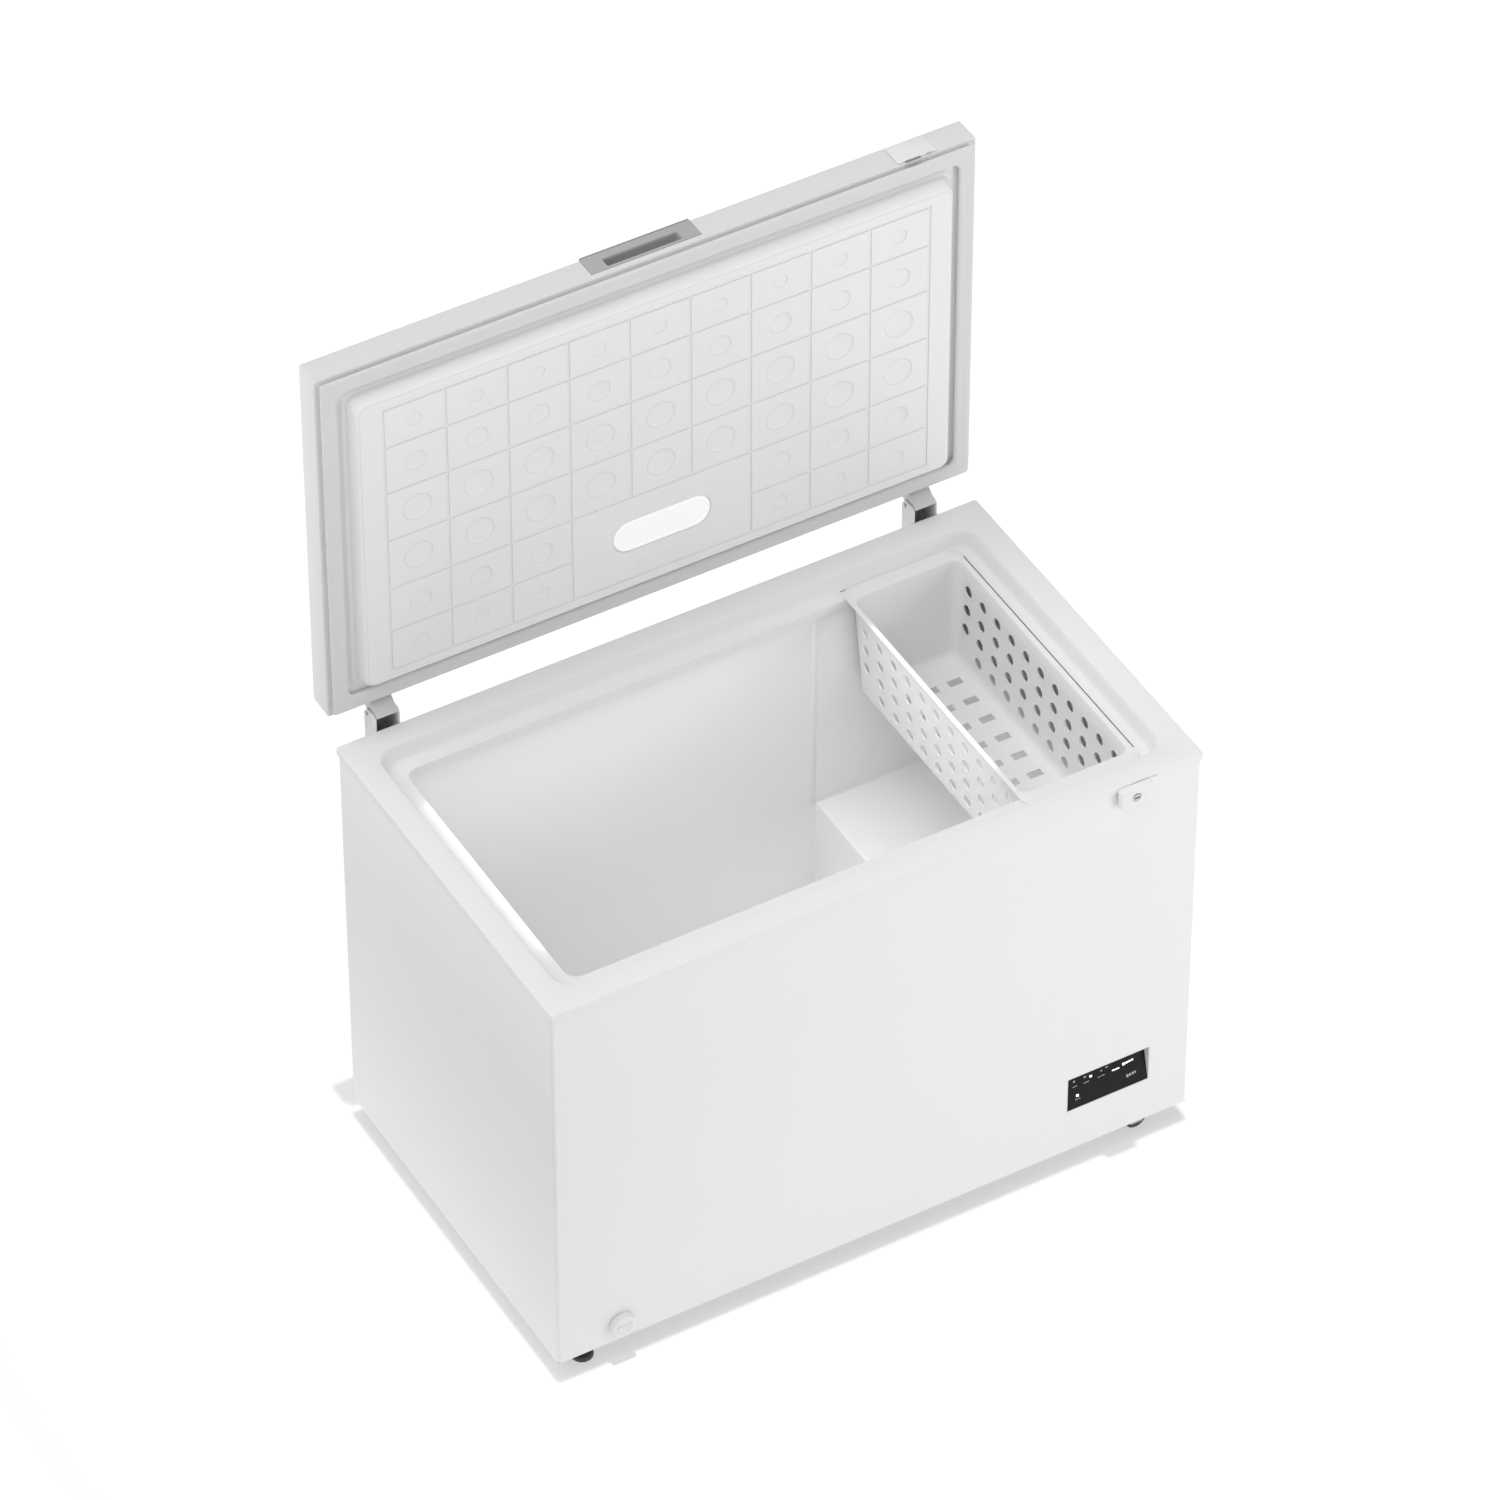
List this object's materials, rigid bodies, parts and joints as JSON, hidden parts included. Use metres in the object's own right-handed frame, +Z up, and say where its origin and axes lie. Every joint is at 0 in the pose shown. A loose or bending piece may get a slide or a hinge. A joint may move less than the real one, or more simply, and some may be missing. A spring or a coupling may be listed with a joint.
{
  "type": "chest freezer",
  "caption": "White chest freezer with its hinged lid open, a hanging basket, a stepped tub, a lamp in the lid and a control panel low on the front.",
  "frame": {"origin": "middle of the footprint of the object's box, on the floor", "axes": "+Z up, the cabinet's front faces -Y, its right side (the step and basket end) faces +X"},
  "size_m": [1.118, 0.7438, 1.4863],
  "materials": {
    "white_enamel": "gloss",
    "white_plastic": "satin",
    "liner_white": "satin",
    "silver_plastic": "satin",
    "black_gloss": "gloss",
    "gasket_grey": "matte",
    "foam": "matte",
    "zinc_steel": "satin",
    "copper": "satin",
    "aluminium": "satin",
    "compressor_black": "satin",
    "black_rubber": "matte",
    "dark_plastic": "satin",
    "board_green": "satin",
    "lamp_lens": "satin"
  },
  "bodies": {
    "cabinet": {"front_panel": "white_enamel", "back_panel": "white_enamel", "left_panel": "white_enamel", "right_panel": "white_enamel", "hinge_bracket_left": "white_enamel", "hinge_bracket_right": "white_enamel", "side_vent_grille": "white_plastic", "top_collar": "white_plastic", "lock_keeper": "white_plastic", "control_housing": "white_plastic", "drain_hose": "white_plastic", "inner_tub": "liner_white", "control_fascia": "black_gloss", "body_insulation": "foam", "base_pan": "zinc_steel", "compressor_tray": "zinc_steel", "compressor_mount": "zinc_steel", "foot_socket_front": "zinc_steel", "foot_socket_rear": "zinc_steel", "roller_bracket_front": "zinc_steel", "roller_bracket_rear": "zinc_steel", "roller_axle_front": "zinc_steel", "roller_axle_rear": "zinc_steel", "hinge_pin_left": "zinc_steel", "hinge_pin_right": "zinc_steel", "hinge_spring_left": "zinc_steel", "hinge_spring_right": "zinc_steel", "condenser_coil": "copper", "filter_drier": "copper", "discharge_line": "copper", "evaporator_coil": "aluminium", "compressor": "compressor_black", "compressor_grommet_1": "black_rubber", "compressor_grommet_2": "black_rubber", "compressor_grommet_3": "black_rubber", "compressor_grommet_4": "black_rubber", "compressor_relay_box": "dark_plastic", "mains_gland": "dark_plastic", "control_board": "board_green"},
    "lid": {"lid_skin": "white_enamel", "lid_inner_panel": "white_plastic", "lid_insulation": "foam", "lid_gasket": "gasket_grey", "lamp_housing": "white_plastic", "lamp_board": "board_green", "lamp_lens": "lamp_lens", "lid_handle": "silver_plastic", "lid_lock_plate": "white_plastic", "lid_lock_hook": "zinc_steel", "hinge_arm_left": "silver_plastic", "hinge_arm_right": "silver_plastic"},
    "basket": {"basket": "white_plastic"},
    "lock_barrel": {"lock_cylinder": "zinc_steel"},
    "knob": {"drain_knob": "white_plastic"},
    "plug": {"drain_plug": "black_rubber"},
    "foot_front": {"levelling_foot_front": "dark_plastic"},
    "foot_rear": {"levelling_foot_rear": "dark_plastic"},
    "wheel_front": {"roller_front": "dark_plastic"},
    "wheel_rear": {"roller_rear": "dark_plastic"}
  },
  "joints": [
    {"name": "lid_hinge", "type": "hinge", "parent": "cabinet", "child": "lid", "pos_m": [0, 0.32785, 0.7955], "axis": [1, 0, 0], "range_deg": [0, 90]},
    {"name": "basket_slide", "type": "slide", "parent": "cabinet", "child": "basket", "axis": [1, 0, 0], "range_m": [-0.765, 0]},
    {"name": "drain_knob_pull", "type": "slide", "parent": "cabinet", "child": "knob", "axis": [0, -1, 0], "range_m": [0, 0.03]},
    {"name": "drain_plug_lift", "type": "slide", "parent": "cabinet", "child": "plug", "axis": [0, 0, 1], "range_m": [0, 0.03]},
    {"name": "lock_turn", "type": "hinge", "parent": "cabinet", "child": "lock_barrel", "pos_m": [0.435, -0.37085, 0.756], "axis": [0, -1, 0], "range_deg": [0, 90]},
    {"name": "foot_front_turn", "type": "hinge", "parent": "cabinet", "child": "foot_front", "pos_m": [-0.498, -0.32415, 0.02], "axis": [0, 0, 1], "continuous": true},
    {"name": "foot_rear_turn", "type": "hinge", "parent": "cabinet", "child": "foot_rear", "pos_m": [-0.498, 0.26585, 0.02], "axis": [0, 0, 1], "continuous": true},
    {"name": "roller_front_roll", "type": "hinge", "parent": "cabinet", "child": "wheel_front", "pos_m": [0.481, -0.32415, 0.018], "axis": [0, 1, 0], "continuous": true},
    {"name": "roller_rear_roll", "type": "hinge", "parent": "cabinet", "child": "wheel_rear", "pos_m": [0.481, 0.26585, 0.018], "axis": [0, 1, 0], "continuous": true}
  ]
}
